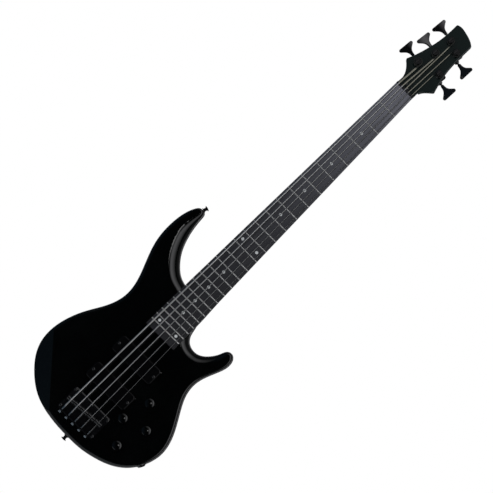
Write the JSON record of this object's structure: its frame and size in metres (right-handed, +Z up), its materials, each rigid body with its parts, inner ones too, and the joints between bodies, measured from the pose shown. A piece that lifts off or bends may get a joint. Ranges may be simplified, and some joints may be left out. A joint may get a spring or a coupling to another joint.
{
  "type": "electric bass guitar",
  "caption": "Solid-body electric bass with two horns, bolt-on fretted neck, geared tuning machines, soapbar pickups, adjustable bridge saddles and turning control knobs.",
  "frame": {"origin": "centre line at the nut, on the glue plane between neck and fingerboard, where a hanger takes the neck under the headstock", "axes": "+Z up the neck towards the headstock, +Y out of the back, +X towards the thinnest string"},
  "size_m": [0.318, 0.0633, 1.0968],
  "materials": {
    "lacquered_body": "gloss black lacquer over wood",
    "lacquered_neck": "gloss black lacquer over wood",
    "dark_board": "oiled dark hardwood",
    "fret_metal": "polished nickel silver",
    "white_dots": "white plastic",
    "black_nut": "black graphite filled plastic",
    "black_gloss_plastic": "gloss black plastic",
    "black_satin_plastic": "satin black plastic",
    "black_metal": "black plating on metal",
    "black_knobs": "black anodised turned aluminium",
    "bare_steel": "bare steel",
    "wound_strings": "round wound nickel plated steel",
    "copper_coils": "enamelled copper wire",
    "magnet_bars": "sintered magnet",
    "wire_jacket": "black insulated wire"
  },
  "bodies": {
    "instrument": {"body": "lacquered_body", "neck": "lacquered_neck", "fingerboard": "dark_board", "frets": "fret_metal", "position_dots": "white_dots", "nut": "black_nut", "truss_rod": "bare_steel", "truss_rod_cover": "black_gloss_plastic", "neck_screws": "black_metal", "neck_ferrules": "black_metal", "tuner_bushings": "black_metal", "tuner_housings": "black_metal", "control_lid": "black_satin_plastic", "small_screws": "black_metal", "bridge_screws": "black_metal", "pickup_screws": "black_metal", "strap_buttons": "black_metal", "strap_screws": "black_metal", "bridge_plate": "black_metal", "neck_pickup_cover": "black_satin_plastic", "bridge_pickup_cover": "black_satin_plastic", "pickup_coils": "copper_coils", "pickup_magnets": "magnet_bars", "control_pots": "bare_steel", "output_jack": "black_metal", "panel_nuts": "black_metal", "wiring": "wire_jacket", "string_b": "wound_strings", "string_e": "wound_strings", "string_a": "wound_strings", "string_d": "wound_strings", "string_g": "wound_strings"},
    "tuner_key_b": {"tuner_key_b": "black_metal"},
    "tuner_post_b": {"tuner_post_b": "black_metal"},
    "tuner_key_e": {"tuner_key_e": "black_metal"},
    "tuner_post_e": {"tuner_post_e": "black_metal"},
    "tuner_key_a": {"tuner_key_a": "black_metal"},
    "tuner_post_a": {"tuner_post_a": "black_metal"},
    "tuner_key_d": {"tuner_key_d": "black_metal"},
    "tuner_post_d": {"tuner_post_d": "black_metal"},
    "tuner_key_g": {"tuner_key_g": "black_metal"},
    "tuner_post_g": {"tuner_post_g": "black_metal"},
    "control_knob_1": {"control_knob_1": "black_knobs", "control_shaft_1": "bare_steel"},
    "control_knob_2": {"control_knob_2": "black_knobs", "control_shaft_2": "bare_steel"},
    "control_knob_3": {"control_knob_3": "black_knobs", "control_shaft_3": "bare_steel"},
    "control_knob_4": {"control_knob_4": "black_knobs", "control_shaft_4": "bare_steel"},
    "saddle_b": {"saddle_b": "black_metal"},
    "intonation_screw_b": {"intonation_screw_b": "black_metal"},
    "saddle_e": {"saddle_e": "black_metal"},
    "intonation_screw_e": {"intonation_screw_e": "black_metal"},
    "saddle_a": {"saddle_a": "black_metal"},
    "intonation_screw_a": {"intonation_screw_a": "black_metal"},
    "saddle_d": {"saddle_d": "black_metal"},
    "intonation_screw_d": {"intonation_screw_d": "black_metal"},
    "saddle_g": {"saddle_g": "black_metal"},
    "intonation_screw_g": {"intonation_screw_g": "black_metal"}
  },
  "joints": [
    {"name": "tuner_key_b_turn", "type": "hinge", "parent": "instrument", "child": "tuner_key_b", "pos_m": [-0.02003, 0.03041, 0.05893], "axis": [-0.9962, 0.0151, 0.0858], "continuous": true},
    {"name": "tuner_post_b_turn", "type": "hinge", "parent": "instrument", "child": "tuner_post_b", "pos_m": [-0.02059, 0.01, 0.05605], "axis": [0, 0.9848, -0.1736], "continuous": true},
    {"name": "tuner_key_e_turn", "type": "hinge", "parent": "instrument", "child": "tuner_key_e", "pos_m": [-0.00894, 0.0367, 0.0946], "axis": [-0.9962, 0.0151, 0.0858], "continuous": true},
    {"name": "tuner_post_e_turn", "type": "hinge", "parent": "instrument", "child": "tuner_post_e", "pos_m": [-0.0095, 0.01629, 0.09173], "axis": [0, 0.9848, -0.1736], "continuous": true},
    {"name": "tuner_key_a_turn", "type": "hinge", "parent": "instrument", "child": "tuner_key_a", "pos_m": [-0.00492, 0.04333, 0.13218], "axis": [-0.9962, 0.0151, 0.0858], "continuous": true},
    {"name": "tuner_post_a_turn", "type": "hinge", "parent": "instrument", "child": "tuner_post_a", "pos_m": [-0.00548, 0.02292, 0.12931], "axis": [0, 0.9848, -0.1736], "continuous": true},
    {"name": "tuner_key_d_turn", "type": "hinge", "parent": "instrument", "child": "tuner_key_d", "pos_m": [0.0178, 0.03952, 0.11059], "axis": [0.9962, -0.0151, -0.0858], "continuous": true},
    {"name": "tuner_post_d_turn", "type": "hinge", "parent": "instrument", "child": "tuner_post_d", "pos_m": [0.01836, 0.02133, 0.12027], "axis": [0, 0.9848, -0.1736], "continuous": true},
    {"name": "tuner_key_g_turn", "type": "hinge", "parent": "instrument", "child": "tuner_key_g", "pos_m": [0.02392, 0.03049, 0.05937], "axis": [0.9962, -0.0151, -0.0858], "continuous": true},
    {"name": "tuner_post_g_turn", "type": "hinge", "parent": "instrument", "child": "tuner_post_g", "pos_m": [0.02448, 0.0123, 0.06906], "axis": [0, 0.9848, -0.1736], "continuous": true},
    {"name": "control_knob_1_turn", "type": "hinge", "parent": "instrument", "child": "control_knob_1", "pos_m": [0.07743, 0.003, -0.76766], "axis": [0, -1, 0], "range_deg": [-150, 150]},
    {"name": "control_knob_2_turn", "type": "hinge", "parent": "instrument", "child": "control_knob_2", "pos_m": [0.06121, 0.003, -0.82406], "axis": [0, -1, 0], "range_deg": [-150, 150]},
    {"name": "control_knob_3_turn", "type": "hinge", "parent": "instrument", "child": "control_knob_3", "pos_m": [0.08983, 0.003, -0.86918], "axis": [0, -1, 0], "range_deg": [-150, 150]},
    {"name": "control_knob_4_turn", "type": "hinge", "parent": "instrument", "child": "control_knob_4", "pos_m": [0.11003, 0.003, -0.80959], "axis": [0, -1, 0], "range_deg": [-150, 150]},
    {"name": "intonation_screw_b_turn", "type": "hinge", "parent": "instrument", "child": "intonation_screw_b", "pos_m": [-0.0343, -0.0029, -0.8967], "axis": [0, 0, 1], "continuous": true},
    {"name": "saddle_b_slide", "type": "slide", "parent": "instrument", "child": "saddle_b", "axis": [0, 0, 1], "range_m": [0, 0.006]},
    {"name": "intonation_screw_e_turn", "type": "hinge", "parent": "instrument", "child": "intonation_screw_e", "pos_m": [-0.01715, -0.0029, -0.8967], "axis": [0, 0, 1], "continuous": true},
    {"name": "saddle_e_slide", "type": "slide", "parent": "instrument", "child": "saddle_e", "axis": [0, 0, 1], "range_m": [0, 0.006]},
    {"name": "intonation_screw_a_turn", "type": "hinge", "parent": "instrument", "child": "intonation_screw_a", "pos_m": [0, -0.0029, -0.8967], "axis": [0, 0, 1], "continuous": true},
    {"name": "saddle_a_slide", "type": "slide", "parent": "instrument", "child": "saddle_a", "axis": [0, 0, 1], "range_m": [0, 0.006]},
    {"name": "intonation_screw_d_turn", "type": "hinge", "parent": "instrument", "child": "intonation_screw_d", "pos_m": [0.01715, -0.0029, -0.8967], "axis": [0, 0, 1], "continuous": true},
    {"name": "saddle_d_slide", "type": "slide", "parent": "instrument", "child": "saddle_d", "axis": [0, 0, 1], "range_m": [0, 0.006]},
    {"name": "intonation_screw_g_turn", "type": "hinge", "parent": "instrument", "child": "intonation_screw_g", "pos_m": [0.0343, -0.0029, -0.8967], "axis": [0, 0, 1], "continuous": true},
    {"name": "saddle_g_slide", "type": "slide", "parent": "instrument", "child": "saddle_g", "axis": [0, 0, 1], "range_m": [0, 0.006]}
  ],
  "couplings": [
    {"joint": "tuner_post_b_turn", "follows": "tuner_key_b_turn", "ratio": 0.0625},
    {"joint": "tuner_post_e_turn", "follows": "tuner_key_e_turn", "ratio": 0.0625},
    {"joint": "tuner_post_a_turn", "follows": "tuner_key_a_turn", "ratio": 0.0625},
    {"joint": "tuner_post_d_turn", "follows": "tuner_key_d_turn", "ratio": 0.0625},
    {"joint": "tuner_post_g_turn", "follows": "tuner_key_g_turn", "ratio": 0.0625},
    {"joint": "intonation_screw_b_turn", "follows": "saddle_b_slide", "rad_per_m": 7854},
    {"joint": "intonation_screw_e_turn", "follows": "saddle_e_slide", "rad_per_m": 7854},
    {"joint": "intonation_screw_a_turn", "follows": "saddle_a_slide", "rad_per_m": 7854},
    {"joint": "intonation_screw_d_turn", "follows": "saddle_d_slide", "rad_per_m": 7854},
    {"joint": "intonation_screw_g_turn", "follows": "saddle_g_slide", "rad_per_m": 7854}
  ]
}
